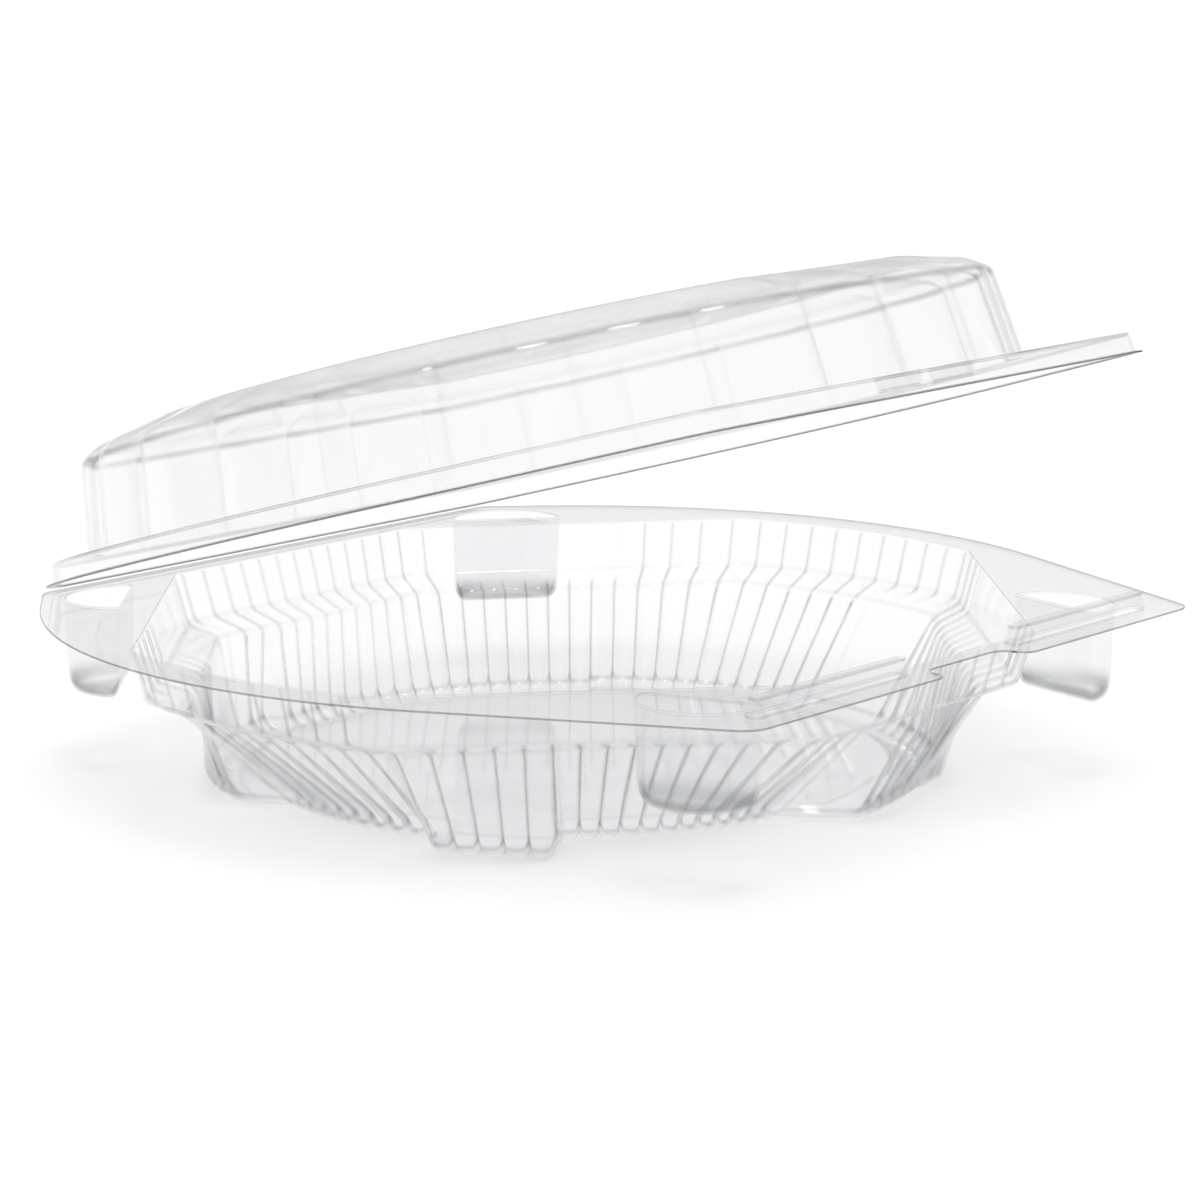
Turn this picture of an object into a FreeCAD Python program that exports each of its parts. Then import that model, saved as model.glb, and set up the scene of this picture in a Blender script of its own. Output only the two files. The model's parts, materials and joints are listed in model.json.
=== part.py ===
import FreeCAD, Part

# Clear hinged clamshell pack: a ribbed round tray and a fluted dome lid, thermoformed from one sheet.
# Frame: millimetres, +Z up, front towards -Y, fold along X at the back, origin on the table under the
# middle of the outline. Both pieces are drawn about the bowl's axis and then moved there. The lid is
# drawn closed and then turned open about the fold.

import math
import os

DOC_NAME = "clamshell_pack"

# Driving sizes: alias, value. Lengths in mm, angles in degrees, counts as plain numbers.
SIZES = [
    ("sheet_thickness", 0.45),
    ("tray_height", 42.0),
    ("flange_radius", 126.0),
    ("side_arc_front_angle", 65.0),
    ("side_arc_back_angle", 134.0),
    ("hinge_offset", 100.0),
    ("front_edge_offset", 119.0),
    ("ear_tip_radius", 7.0),
    ("hinge_corner_radius", 7.0),
    ("finger_notch_half_width", 15.0),
    ("finger_notch_depth", 7.0),
    ("finger_notch_radius", 4.0),
    ("rib_count", 96),
    ("upper_rib_depth", 0.9),
    ("lower_rib_depth", 1.3),
    ("side_rim_width", 10.0),
    ("front_rim_width", 12.0),
    ("back_rim_width", 6.0),
    ("front_corner_cut", 13.5),
    ("back_corner_cut", 18.0),
    ("front_corner_angle", 43.0),
    ("back_corner_angle", 140.0),
    ("rib_lead_in", 1.2),
    ("upper_wall_height", 12.0),
    ("upper_wall_draft", 3.4),
    ("ledge_width", 8.0),
    ("ledge_drop", 3.0),
    ("bowl_taper", 29.0),
    ("bottom_toe_height", 2.4),
    ("bottom_toe_width", 3.0),
    ("bead_width", 4.0),
    ("floor_step_width", 4.0),
    ("floor_rise", 2.5),
    ("front_corner_inset", 17.0),
    ("side_inset", 10.0),
    ("back_inset", 5.0),
    ("front_inset", 3.0),
    ("pocket_radius", 14.0),
    ("pocket_depth", 22.0),
    ("pocket_wall_draft", 0.6),
    ("pocket_floor_rounding", 5.0),
    ("front_pocket_side_offset", 59.5),
    ("front_pocket_front_offset", 27.0),
    ("front_pocket_turn", 75.0),
    ("back_pocket_gap", 9.0),
    ("lock_bar_width", 4.0),
    ("lock_bar_height", 4.0),
    ("lock_bar_notch_gap", 5.5),
    ("lock_bar_side_offset", 51.5),
    ("lock_bar_front_offset", 8.4),
    ("lock_bar_draft", 0.5),
    ("lid_clearance", 0.3),
    ("hinge_gap", 0.3),
    ("lid_inset", 2.2),
    ("lid_front_inset", 3.5),
    ("lid_ear_tip_radius", 12.0),
    ("lip_width", 1.6),
    ("riser_height", 4.8),
    ("riser_draft", 0.7),
    ("flute_count", 24),
    ("flute_depth", 2.6),
    ("platform_side_width", 8.5),
    ("platform_front_width", 8.0),
    ("platform_back_width", 6.2),
    ("dome_wall_height", 21.5),
    ("dome_wall_draft", 3.0),
    ("dome_shoulder_height", 2.6),
    ("dome_shoulder_width", 3.4),
    ("roof_slope_width", 14.0),
    ("roof_rise", 3.6),
    ("dimple_x", 10.0),
    ("dimple_front_offset", 5.5),
    ("dimple_length", 13.0),
    ("dimple_width", 3.8),
    ("dimple_depth", 3.0),
    ("dimple_draft", 0.4),
    ("lid_open_angle", 16.0),
]

# Smooth panels between the ribbed stretches, as degrees from the front towards +X.
PLAIN_UPPER = [(-72.0, -8.0), (30.0, 60.0), (122.0, 152.0), (-152.0, -124.0)]
PLAIN_LOWER = [(-158.0, -138.0), (-116.0, -107.0), (-8.0, 3.0), (70.0, 84.0)]

# Corners of the stretches where the lower wall stands in or out: angle and which inset holds from there.
STEP_WIDTH = 1.8
INSET_STRETCHES = [
    (-180.0, "back_inset"),
    (-167.0, None),
    (-107.0, "side_inset"),
    (-71.0, None),
    (-51.5, "front_corner_inset"),
    (3.0, "front_inset"),
    (26.0, None),
    (128.0, "back_inset"),
]
RAMPS = {-107.0: 9.0, 3.0: 11.0}

COLUMNS_PER_RIB = 2
COLUMNS_PER_FLUTE = 6
FLUTE_ROUNDNESS = 0.7
POCKET_ARC_STEPS = 14
POCKET_BEND_SHARE = 0.3
FLAT_REACH = 0.3
LEVEL_TOLERANCE = 1e-6


def make_sheet(doc):
    """The spreadsheet that holds every driving size under its own alias."""
    sheet = doc.addObject("Spreadsheet::Sheet", "Sizes")
    for row, (alias, value) in enumerate(SIZES, start=1):
        sheet.set("A%d" % row, alias)
        sheet.set("B%d" % row, str(value))
        sheet.setAlias("B%d" % row, alias)
    doc.recompute()
    return sheet


class Sizes:
    """Reads the spreadsheet's cells by alias, and works out the places that follow from them.

    Places are distances from the bowl's axis.
    """

    def __init__(self, sheet):
        self._sheet = sheet

    def __getattr__(self, alias):
        return float(self._sheet.get(alias))

    @property
    def mouth_radius(self):
        return self.flange_radius - self.side_rim_width

    @property
    def mouth_front_flat(self):
        return self.front_edge_offset - self.front_rim_width

    @property
    def mouth_back_flat(self):
        return self.hinge_offset - self.back_rim_width

    @property
    def mouth_front_corner_flat(self):
        return self.mouth_radius - self.front_corner_cut

    @property
    def mouth_back_corner_flat(self):
        return self.mouth_radius - self.back_corner_cut

    @property
    def bottom_radius(self):
        return self.mouth_radius - self.bowl_taper

    @property
    def front_pocket_x(self):
        return self.flange_radius - self.front_pocket_side_offset

    @property
    def front_pocket_y(self):
        return self.front_edge_offset - self.front_pocket_front_offset

    @property
    def back_pocket_distance(self):
        return self.mouth_back_corner_flat + self.back_pocket_gap

    @property
    def lock_bar_start(self):
        return self.finger_notch_half_width + self.lock_bar_notch_gap

    @property
    def lock_bar_end(self):
        return self.flange_radius - self.lock_bar_side_offset

    @property
    def lock_bar_y(self):
        return self.front_edge_offset - self.lock_bar_front_offset

    @property
    def lid_front_offset(self):
        return self.front_edge_offset - self.lid_front_inset

    @property
    def dome_radius(self):
        riser_head = self.flange_radius - self.lid_inset - self.lip_width - self.riser_draft
        return riser_head - self.platform_side_width

    @property
    def dome_front_flat(self):
        return self.lid_front_offset - self.platform_front_width

    @property
    def dome_back_flat(self):
        return self.hinge_offset - self.hinge_gap - self.platform_back_width

    @property
    def dimple_y(self):
        return self.lid_front_offset - self.dimple_front_offset


def point(angle, radius, z):
    """A point at an angle from the front (-Y) towards +X."""
    turn = math.radians(angle)
    return FreeCAD.Vector(radius * math.sin(turn), -radius * math.cos(turn), z)


def turn_between(angle, other):
    """Signed difference of two angles, within half a turn."""
    return (angle - other + 180.0) % 360.0 - 180.0


def in_stretch(angle, stretches):
    wrapped = turn_between(angle, 0.0)
    return any(start <= wrapped <= end for start, end in stretches)


def flat_limited_radius(angle, radius, flats):
    """Radius of a circle that straight walls cut: flats are (direction, distance) pairs."""
    reach = radius
    for direction, distance in flats:
        away = math.radians(turn_between(angle, direction))
        if math.cos(away) > FLAT_REACH:
            reach = min(reach, distance / math.cos(away))
    return reach


def offset_profile(profile, thickness, plane):
    """The (radius, height) profile moved to the sheet's other side, with mitred corners.

    Its first point stays in the given plane and its last one is level with a flat floor beyond it.
    """
    normals = []
    for (r0, z0), (r1, z1) in zip(profile, profile[1:]):
        length = math.hypot(r1 - r0, z1 - z0)
        normals.append(((z0 - z1) / length, (r1 - r0) / length))
    normals.append((0.0, -1.0))
    moved = []
    for index, (radius, height) in enumerate(profile):
        ahead = normals[index]
        behind = normals[index - 1] if index else ahead
        sum_r = ahead[0] + behind[0]
        sum_z = ahead[1] + behind[1]
        stretch = thickness / (sum_r * ahead[0] + sum_z * ahead[1])
        moved.append((radius + sum_r * stretch, height + sum_z * stretch))
    (r0, z0), (r1, z1) = moved[0], moved[1]
    share = (plane - z0) / (z1 - z0)
    moved[0] = (r0 + (r1 - r0) * share, plane)
    return moved


def triangle(a, b, c):
    return Part.Face(Part.makePolygon([a, b, c, a]))


def band_faces(upper, lower):
    """Triangles that join two closed rings of as many points."""
    faces = []
    count = len(upper)
    for index in range(count):
        after = (index + 1) % count
        faces.append(triangle(upper[index], upper[after], lower[after]))
        faces.append(triangle(upper[index], lower[after], lower[index]))
    return faces


def ring_wire(ring):
    return Part.makePolygon(ring + [ring[0]])


def planar_face(wires):
    """A flat face: the first wire is its border and the others are holes."""
    return Part.makeFace(wires, "Part::FaceMakerBullseye")


def is_level(rings):
    heights = [vertex.z for ring in rings for vertex in ring]
    return max(heights) - min(heights) < LEVEL_TOLERANCE


def skin_faces(rings):
    """All bands between successive rings: a level band is one flat face."""
    faces = []
    for upper, lower in zip(rings, rings[1:]):
        if is_level((upper, lower)):
            faces.append(planar_face([ring_wire(upper), ring_wire(lower)]))
        else:
            faces.extend(band_faces(upper, lower))
    return faces


def solid_from(faces):
    """One closed solid sewn from faces that meet edge to edge."""
    shell = Part.Shell(faces)
    shell.sewShape()
    if shell.ShapeType != "Shell":
        shell = shell.Shells[0]
    solid = Part.Solid(shell)
    if solid.Volume < 0:
        solid.reverse()
    return solid


def arc_through(start, middle, end):
    return Part.Arc(start, middle, end).toShape()


def filleted_wire(corners, z):
    """A closed wire of straight edges with rounded corners: corners are (x, y, radius)."""
    edges = []
    starts = []
    ends = []
    count = len(corners)
    for index, (x, y, radius) in enumerate(corners):
        here = FreeCAD.Vector(x, y, z)
        before = FreeCAD.Vector(corners[index - 1][0], corners[index - 1][1], z)
        after = FreeCAD.Vector(corners[(index + 1) % count][0], corners[(index + 1) % count][1], z)
        to_before = (before - here).normalize()
        to_after = (after - here).normalize()
        half = to_before.getAngle(to_after) / 2.0
        tangent = radius / math.tan(half)
        bisector = (to_before + to_after).normalize()
        centre = here + bisector * (radius / math.sin(half))
        starts.append(here + to_before * tangent)
        ends.append(here + to_after * tangent)
        edges.append(arc_through(starts[-1], centre - bisector * radius, ends[-1]))
    lines = []
    for index in range(count):
        lines.append(Part.makeLine(ends[index - 1], starts[index]))
    ordered = []
    for line, arc in zip(lines, edges):
        ordered.append(line)
        ordered.append(arc)
    return Part.Wire(ordered)


def outline_corners(s, radius, front, back, ear_radius, hinge_radius):
    """Corners (x, y, radius) of a rounded outline with two ears at the front and a straight back."""
    first = math.radians(s.side_arc_front_angle)
    last = math.radians(s.side_arc_back_angle)
    ear_x = (radius - front * math.cos(first)) / math.sin(first)
    hinge_x = (radius + back * math.cos(last)) / math.sin(last)
    middle = (first + last) / 2.0
    reach = radius / math.cos((last - first) / 2.0)
    right = [
        (ear_x, -front, ear_radius),
        (reach * math.sin(middle), -reach * math.cos(middle), radius),
        (hinge_x, back, hinge_radius),
    ]
    left = [(-x, y, corner) for x, y, corner in reversed(right)]
    return right + left


def finger_notch_corners(s):
    """Corners of the shallow notch in the middle of the tray's front edge."""
    half = s.finger_notch_half_width
    front_y = -s.front_edge_offset
    inner_y = front_y + s.finger_notch_depth
    return [(x, y, s.finger_notch_radius) for x, y in
            ((-half, front_y), (-half, inner_y), (half, inner_y), (half, front_y))]


def tray_outline(s, z):
    corners = outline_corners(s, s.flange_radius, s.front_edge_offset, s.hinge_offset,
                              s.ear_tip_radius, s.hinge_corner_radius)
    return filleted_wire(corners + finger_notch_corners(s), z)


def lid_outline(s, inset, z):
    """The lid's border, moved inwards by inset."""
    corners = outline_corners(s, s.flange_radius - s.lid_inset - inset, s.lid_front_offset - inset,
                              s.hinge_offset - s.hinge_gap - inset, s.lid_ear_tip_radius - inset,
                              s.hinge_corner_radius - inset)
    return filleted_wire(corners, z)


def tray_mouth_flats(s):
    """Straight stretches of the bowl's mouth: front, back and the four corners behind the pockets."""
    return [
        (0.0, s.mouth_front_flat),
        (180.0, s.mouth_back_flat),
        (s.front_corner_angle, s.mouth_front_corner_flat),
        (-s.front_corner_angle, s.mouth_front_corner_flat),
        (s.back_corner_angle, s.mouth_back_corner_flat),
        (-s.back_corner_angle, s.mouth_back_corner_flat),
    ]


def lower_inset(s, angle):
    """How far the lower wall stands in from its circle at this angle."""
    wrapped = turn_between(angle, 0.0)
    value = 0.0
    previous = 0.0
    for start, alias in INSET_STRETCHES:
        target = getattr(s, alias) if alias else 0.0
        ramp = RAMPS.get(start, STEP_WIDTH)
        if wrapped >= start:
            value = target
        elif wrapped > start - ramp:
            share = (wrapped - start + ramp) / ramp
            return previous + (target - previous) * share
        previous = target
    return value


def tray_profile(s, angle, ridge):
    """Upper skin of the bowl at one angle, from the mouth to the floor: (radius, height) pairs."""
    upper = 0.0 if in_stretch(angle, PLAIN_UPPER) else ridge * s.upper_rib_depth / 2.0
    lower = 0.0 if in_stretch(angle, PLAIN_LOWER) else ridge * s.lower_rib_depth / 2.0
    mouth = flat_limited_radius(angle, s.mouth_radius, tray_mouth_flats(s))
    foot = mouth - s.upper_wall_draft
    ledge = foot - s.ledge_width
    toe = s.bottom_radius - lower_inset(s, angle)
    bead = toe - s.bottom_toe_width
    step = bead - s.bead_width
    lead_draft = s.upper_wall_draft * s.rib_lead_in / s.upper_wall_height
    foot_z = s.tray_height - s.upper_wall_height
    floor_z = s.sheet_thickness
    return [
        (mouth, s.tray_height),
        (mouth - lead_draft + upper, s.tray_height - s.rib_lead_in),
        (foot + upper, foot_z),
        (ledge + lower, foot_z - s.ledge_drop),
        (toe + lower, floor_z + s.bottom_toe_height),
        (bead + lower / 2.0, floor_z),
        (step, floor_z),
        (step - s.floor_step_width, floor_z + s.floor_rise),
    ]


def lid_profile(s, angle, crest, foot_z):
    """Upper skin of the dome at one angle, from the platform to the roof: (radius, height) pairs."""
    flats = [(0.0, s.dome_front_flat), (180.0, s.dome_back_flat)]
    foot = flat_limited_radius(angle, s.dome_radius, flats)
    flute = s.flute_depth * (1.0 - crest)
    wall = foot - s.dome_wall_draft - flute
    shoulder = wall - s.dome_shoulder_width
    roof = shoulder - s.roof_slope_width
    wall_z = foot_z + s.dome_wall_height
    shoulder_z = wall_z + s.dome_shoulder_height
    return [
        (foot - flute, foot_z),
        (wall, wall_z),
        (shoulder, shoulder_z),
        (roof + flute, shoulder_z + s.roof_rise),
    ]


def column_rings(columns, profile_at):
    """Rings of points, level by level, for the upper skin or its offset."""
    rows = [(angle, profile_at(angle, weight)) for angle, weight in columns]
    levels = len(rows[0][1])
    return [[point(angle, *profile[level]) for angle, profile in rows] for level in range(levels)]


def both_skins(s, columns, profile_at, plane):
    """Rings of the upper skin and of the lower skin, one sheet thickness apart."""
    def lower_at(angle, weight):
        return offset_profile(profile_at(angle, weight), s.sheet_thickness, plane)

    return column_rings(columns, profile_at), column_rings(columns, lower_at)


def rib_columns(s):
    """Angles of the rib lines, with +1 on a ridge and -1 in a groove."""
    count = int(s.rib_count) * COLUMNS_PER_RIB
    return [(index * 360.0 / count, 1.0 if index % 2 == 0 else -1.0) for index in range(count)]


def flute_columns(s):
    """Angles around the dome, with how far each lies out on its scallop: 0 in a crease, 1 on a crest."""
    count = int(s.flute_count) * COLUMNS_PER_FLUTE
    columns = []
    for index in range(count):
        phase = math.pi * (index % COLUMNS_PER_FLUTE) / COLUMNS_PER_FLUTE
        columns.append((index * 360.0 / count, math.sin(phase) ** FLUTE_ROUNDNESS))
    return columns


def pocket_ring(centre, outward, radius, inset, z):
    """Half-round ring: an arc on the outward side and a straight side through the centre."""
    arc_radius = radius - inset
    half = math.acos(inset / arc_radius)
    out = math.radians(outward)
    ring = []
    for index in range(POCKET_ARC_STEPS + 1):
        turn = -half + 2.0 * half * index / POCKET_ARC_STEPS
        x = centre[0] + arc_radius * math.sin(out + turn)
        y = centre[1] - arc_radius * math.cos(out + turn)
        ring.append(FreeCAD.Vector(x, y, z))
    return ring


def pocket_rings(s, centre, outward, thickness):
    """Levels of one cup pocket that hangs from the flange; thickness is 0 for the inside."""
    deep = s.tray_height - s.pocket_depth - thickness
    rounding = s.pocket_floor_rounding
    levels = [
        (0.0, s.tray_height - thickness),
        (s.pocket_wall_draft, deep + rounding),
        (s.pocket_wall_draft + rounding * POCKET_BEND_SHARE, deep + rounding * POCKET_BEND_SHARE),
        (s.pocket_wall_draft + rounding, deep),
    ]
    return [pocket_ring(centre, outward, s.pocket_radius, inset - thickness, z) for inset, z in levels]


def pocket_places(s):
    """Name, centre and outward direction of each cup pocket."""
    back = math.radians(s.back_corner_angle)
    back_x = s.back_pocket_distance * math.sin(back)
    back_y = -s.back_pocket_distance * math.cos(back)
    places = []
    for side, word in ((-1.0, "left"), (1.0, "right")):
        places.append(("pocket_front_" + word, (side * s.front_pocket_x, -s.front_pocket_y),
                       side * s.front_pocket_turn))
        places.append(("pocket_back_" + word, (side * back_x, back_y), side * s.back_corner_angle))
    return places


def box_ring(x, y, half_length, half_width, z):
    return [
        FreeCAD.Vector(x - half_length, y - half_width, z),
        FreeCAD.Vector(x + half_length, y - half_width, z),
        FreeCAD.Vector(x + half_length, y + half_width, z),
        FreeCAD.Vector(x - half_length, y + half_width, z),
    ]


def box_rings(centre, length, width, draft, levels, grow):
    """Two rings of a raised or sunk bar: at the sheet's plane and at its drafted end."""
    x, y = centre
    half_length = length / 2.0 + grow
    half_width = width / 2.0 + grow
    return [
        box_ring(x, y, half_length, half_width, levels[0]),
        box_ring(x, y, half_length - draft, half_width - draft, levels[1]),
    ]


class Pressing:
    """Both skins of a form pressed into the sheet, from the ring it opens with to its flat end."""

    def __init__(self, upper, lower):
        self.faces = skin_faces(upper) + skin_faces(lower)
        self.faces.append(planar_face([ring_wire(upper[-1])]))
        self.faces.append(planar_face([ring_wire(lower[-1])]))
        self.top_hole = ring_wire(upper[0])
        self.under_hole = ring_wire(lower[0])
        self.cut = band_faces(upper[0], lower[0])

    def solid(self):
        """The form as a piece of its own, cut through the sheet along its first ring."""
        return solid_from(self.faces + self.cut)


def sheet_faces(top_border, under_border, pressings):
    """The two flat faces of the sheet between its borders and the forms pressed into it."""
    return [
        planar_face([top_border] + [pressing.top_hole for pressing in pressings]),
        planar_face([under_border] + [pressing.under_hole for pressing in pressings]),
    ]


def tray_bowl(s):
    """The ribbed wall and the floor."""
    def profile_at(angle, weight):
        return tray_profile(s, angle, weight)

    upper, lower = both_skins(s, rib_columns(s), profile_at, s.tray_height - s.sheet_thickness)
    return Pressing(upper, lower)


def tray_pocket(s, centre, outward):
    upper = pocket_rings(s, centre, outward, 0.0)
    lower = pocket_rings(s, centre, outward, s.sheet_thickness)
    return Pressing(upper, lower)


def tray_lock_bar(s, side):
    """One raised bar on the front flange, from beside the notch to the ear, which the lid snaps over."""
    top = s.tray_height + s.lock_bar_height
    under = s.tray_height - s.sheet_thickness
    centre = (side * (s.lock_bar_start + s.lock_bar_end) / 2.0, -s.lock_bar_y)
    size = (s.lock_bar_end - s.lock_bar_start, s.lock_bar_width, s.lock_bar_draft)
    upper = box_rings(centre, *size, (s.tray_height, top), 0.0)
    lower = box_rings(centre, *size, (under, top - s.sheet_thickness), -s.sheet_thickness)
    return Pressing(upper, lower)


def lid_dimple(s, x, platform_z):
    """One sunk bar in the lid's platform, between the tray's lock bars."""
    floor = platform_z - s.dimple_depth
    centre = (x, -s.dimple_y)
    size = (s.dimple_length, s.dimple_width, s.dimple_draft)
    upper = box_rings(centre, *size, (platform_z, floor), 0.0)
    under = platform_z - s.sheet_thickness
    lower = box_rings(centre, *size, (under, floor - s.sheet_thickness), s.sheet_thickness)
    return Pressing(upper, lower)


def make_tray(s):
    """The flange, the bowl and the four cup pockets, each as one closed solid by name."""
    bowl = tray_bowl(s)
    pockets = {name: tray_pocket(s, centre, outward) for name, centre, outward in pocket_places(s)}
    bars = [tray_lock_bar(s, side) for side in (-1.0, 1.0)]
    top_outline = tray_outline(s, s.tray_height)
    under_outline = tray_outline(s, s.tray_height - s.sheet_thickness)
    faces = sheet_faces(top_outline, under_outline, [bowl] + list(pockets.values()) + bars)
    faces += Part.makeLoft([top_outline, under_outline], False, True).Faces
    for bar in bars:
        faces += bar.faces
    for cut_out in [bowl] + list(pockets.values()):
        faces += cut_out.cut
    solids = {"tray_flange": solid_from(faces), "tray_bowl": bowl.solid()}
    solids.update({name: pocket.solid() for name, pocket in pockets.items()})
    return solids


def make_closed_lid(s):
    """The lid as it lies on the closed tray: lip, riser, platform and fluted dome."""
    thickness = s.sheet_thickness
    lip_under_z = s.tray_height + s.lid_clearance
    lip_top_z = lip_under_z + thickness
    platform_z = lip_top_z + s.riser_height

    def profile_at(angle, weight):
        return lid_profile(s, angle, weight, platform_z)

    upper, lower = both_skins(s, flute_columns(s), profile_at, platform_z - thickness)
    pressings = [Pressing(upper, lower)]
    pressings += [lid_dimple(s, side * s.dimple_x, platform_z) for side in (-1.0, 1.0)]
    lip_top = lid_outline(s, 0.0, lip_top_z)
    lip_under = lid_outline(s, 0.0, lip_under_z)
    riser_foot = lid_outline(s, s.lip_width, lip_top_z)
    riser_head = lid_outline(s, s.lip_width + s.riser_draft, platform_z)
    inner_foot = lid_outline(s, s.lip_width + thickness, lip_under_z)
    inner_head = lid_outline(s, s.lip_width + s.riser_draft + thickness, platform_z - thickness)
    faces = [planar_face([lip_top, riser_foot]), planar_face([lip_under, inner_foot])]
    faces += sheet_faces(riser_head, inner_head, pressings)
    for pressing in pressings:
        faces += pressing.faces
    for first, second in ((lip_top, lip_under), (riser_foot, riser_head), (inner_foot, inner_head)):
        faces += Part.makeLoft([first, second], False, True).Faces
    return solid_from(faces)


def to_outline_middle(s):
    """The move from the bowl's axis to the middle of the outline."""
    return FreeCAD.Placement(FreeCAD.Vector(0.0, (s.front_edge_offset - s.hinge_offset) / 2.0, 0.0),
                             FreeCAD.Rotation())


def opened(s):
    """The turn about the fold that opens the closed lid."""
    fold = FreeCAD.Vector(0.0, s.hinge_offset, s.tray_height + s.lid_clearance / 2.0)
    turn = FreeCAD.Rotation(FreeCAD.Vector(-1.0, 0.0, 0.0), s.lid_open_angle)
    return FreeCAD.Placement(FreeCAD.Vector(), turn, fold)


def add_feature(doc, label, shape, placement):
    feature = doc.addObject("Part::Feature", label)
    feature.Label = label
    feature.Shape = shape
    feature.Placement = placement
    return feature


def check(doc, features):
    for obj in doc.Objects:
        if "Invalid" in obj.State or "Error" in obj.State:
            raise RuntimeError("%s did not compute: %s" % (obj.Label, obj.State))
    for feature in features:
        shape = feature.Shape
        if shape.isNull() or not shape.isValid():
            raise RuntimeError("%s has no valid shape" % feature.Label)
        if len(shape.Solids) != 1 or not shape.Solids[0].isClosed():
            raise RuntimeError("%s is not one closed solid" % feature.Label)


def main():
    doc = FreeCAD.newDocument(DOC_NAME)
    s = Sizes(make_sheet(doc))
    middle = to_outline_middle(s)
    features = [add_feature(doc, label, solid, middle) for label, solid in make_tray(s).items()]
    features.append(add_feature(doc, "lid", make_closed_lid(s), middle.multiply(opened(s))))
    doc.recompute()
    check(doc, features)
    os.makedirs("parts", exist_ok=True)
    for feature in features:
        feature.Shape.exportStep("parts/%s.step" % feature.Label)
        box = feature.Shape.BoundBox
        print("%s volume %.0f mm3, faces %d, box %.1f %.1f %.1f to %.1f %.1f %.1f" % (
            feature.Label, feature.Shape.Volume, len(feature.Shape.Faces),
            box.XMin, box.YMin, box.ZMin, box.XMax, box.YMax, box.ZMax))


main()
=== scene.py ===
# Clear clamshell pack: a ribbed round tray and a fluted dome lid, drawn as thin closed sheets.
# Sizes are in millimetres up to the mesh builder, which turns them into metres.

import json
import math

import bmesh
import bpy
from mathutils import Matrix, Vector
from mathutils.geometry import tessellate_polygon

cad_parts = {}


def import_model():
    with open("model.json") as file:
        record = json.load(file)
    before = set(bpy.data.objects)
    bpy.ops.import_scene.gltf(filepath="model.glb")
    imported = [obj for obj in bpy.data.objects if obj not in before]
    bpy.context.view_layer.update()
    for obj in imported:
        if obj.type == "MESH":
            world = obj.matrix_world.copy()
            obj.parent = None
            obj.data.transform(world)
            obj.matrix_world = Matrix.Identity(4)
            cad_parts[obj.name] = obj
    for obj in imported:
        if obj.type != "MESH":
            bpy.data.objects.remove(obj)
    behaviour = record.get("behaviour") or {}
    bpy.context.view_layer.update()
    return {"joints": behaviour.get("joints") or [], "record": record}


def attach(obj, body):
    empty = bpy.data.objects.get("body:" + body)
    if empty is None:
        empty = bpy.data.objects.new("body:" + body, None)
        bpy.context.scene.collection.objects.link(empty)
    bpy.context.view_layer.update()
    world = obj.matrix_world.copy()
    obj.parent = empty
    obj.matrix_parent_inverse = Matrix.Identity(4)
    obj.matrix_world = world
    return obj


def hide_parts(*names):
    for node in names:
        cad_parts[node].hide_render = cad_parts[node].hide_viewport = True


MM = 0.001

# The sheet and the tray's main levels
SHEET = 0.45
TRAY_HEIGHT = 42.0
UPPER_WALL_HEIGHT = 12.0
UPPER_WALL_DRAFT = 3.4
LEDGE_WIDTH = 8.0
LEDGE_DROP = 3.0
TOE_HEIGHT = 2.4
TOE_WIDTH = 3.0
BEAD_WIDTH = 4.0
FLOOR_STEP_WIDTH = 4.0
FLOOR_RISE = 2.5

# The flange's outline
FLANGE_RADIUS = 126.0
SIDE_ARC = (65.0, 134.0)
FRONT_EDGE = 119.0
HINGE_EDGE = 100.0
EAR_TIP_RADIUS = 7.0
HINGE_CORNER_RADIUS = 7.0
NOTCH_HALF_WIDTH = 15.0
NOTCH_DEPTH = 7.0
NOTCH_RADIUS = 4.0

# The bowl's mouth is a circle cut by straight stretches: (direction, distance)
MOUTH_RADIUS = 116.0
MOUTH_FLATS = ((0.0, 107.0), (180.0, 94.0), (43.0, 102.5), (-43.0, 102.5), (140.0, 98.0), (-140.0, 98.0))

# Ribs of the bowl's wall
RIB_COUNT = 96
COLUMNS_PER_RIB = 8
RIB_ROUNDNESS = 0.8
UPPER_RIB_DEPTH = 0.9
LOWER_RIB_DEPTH = 1.3
RIB_LEAD_IN = 1.2
TOE_SWELL = 1.8
TOE_LIFT = 2.0
BEAD_LIFT_SHARE = 0.6
PLAIN_UPPER = ((-72.0, -8.0), (30.0, 60.0), (122.0, 152.0), (-152.0, -124.0))
PLAIN_LOWER = ((-158.0, -138.0), (-116.0, -107.0), (-8.0, 3.0), (70.0, 84.0))
PLAIN_FADE = 1.2

# How far the lower wall stands in from its circle: (start of the stretch, ramp before it, inset)
BOTTOM_RADIUS = 87.0
INSETS = (
    (-180.0, 1.8, 5.0),
    (-167.0, 1.8, 0.0),
    (-107.0, 9.0, 10.0),
    (-71.0, 1.8, 0.0),
    (-51.5, 1.8, 17.0),
    (3.0, 11.0, 3.0),
    (26.0, 1.8, 0.0),
    (128.0, 1.8, 5.0),
)

# Cup pockets of the flange: half-round, with the straight side towards the middle
POCKET_RADIUS = 14.0
POCKET_DEPTH = 22.0
POCKET_DRAFT = 0.6
POCKET_ROUNDING = 7.0
POCKET_FLOOR_INSET = 6.0
POCKET_CORNER = 1.5
POCKET_CORNER_END = 7.5
FRONT_POCKET = (66.5, -92.0, 75.0)
BACK_POCKET_DISTANCE = 107.0
BACK_POCKET_TURN = 140.0

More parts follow.
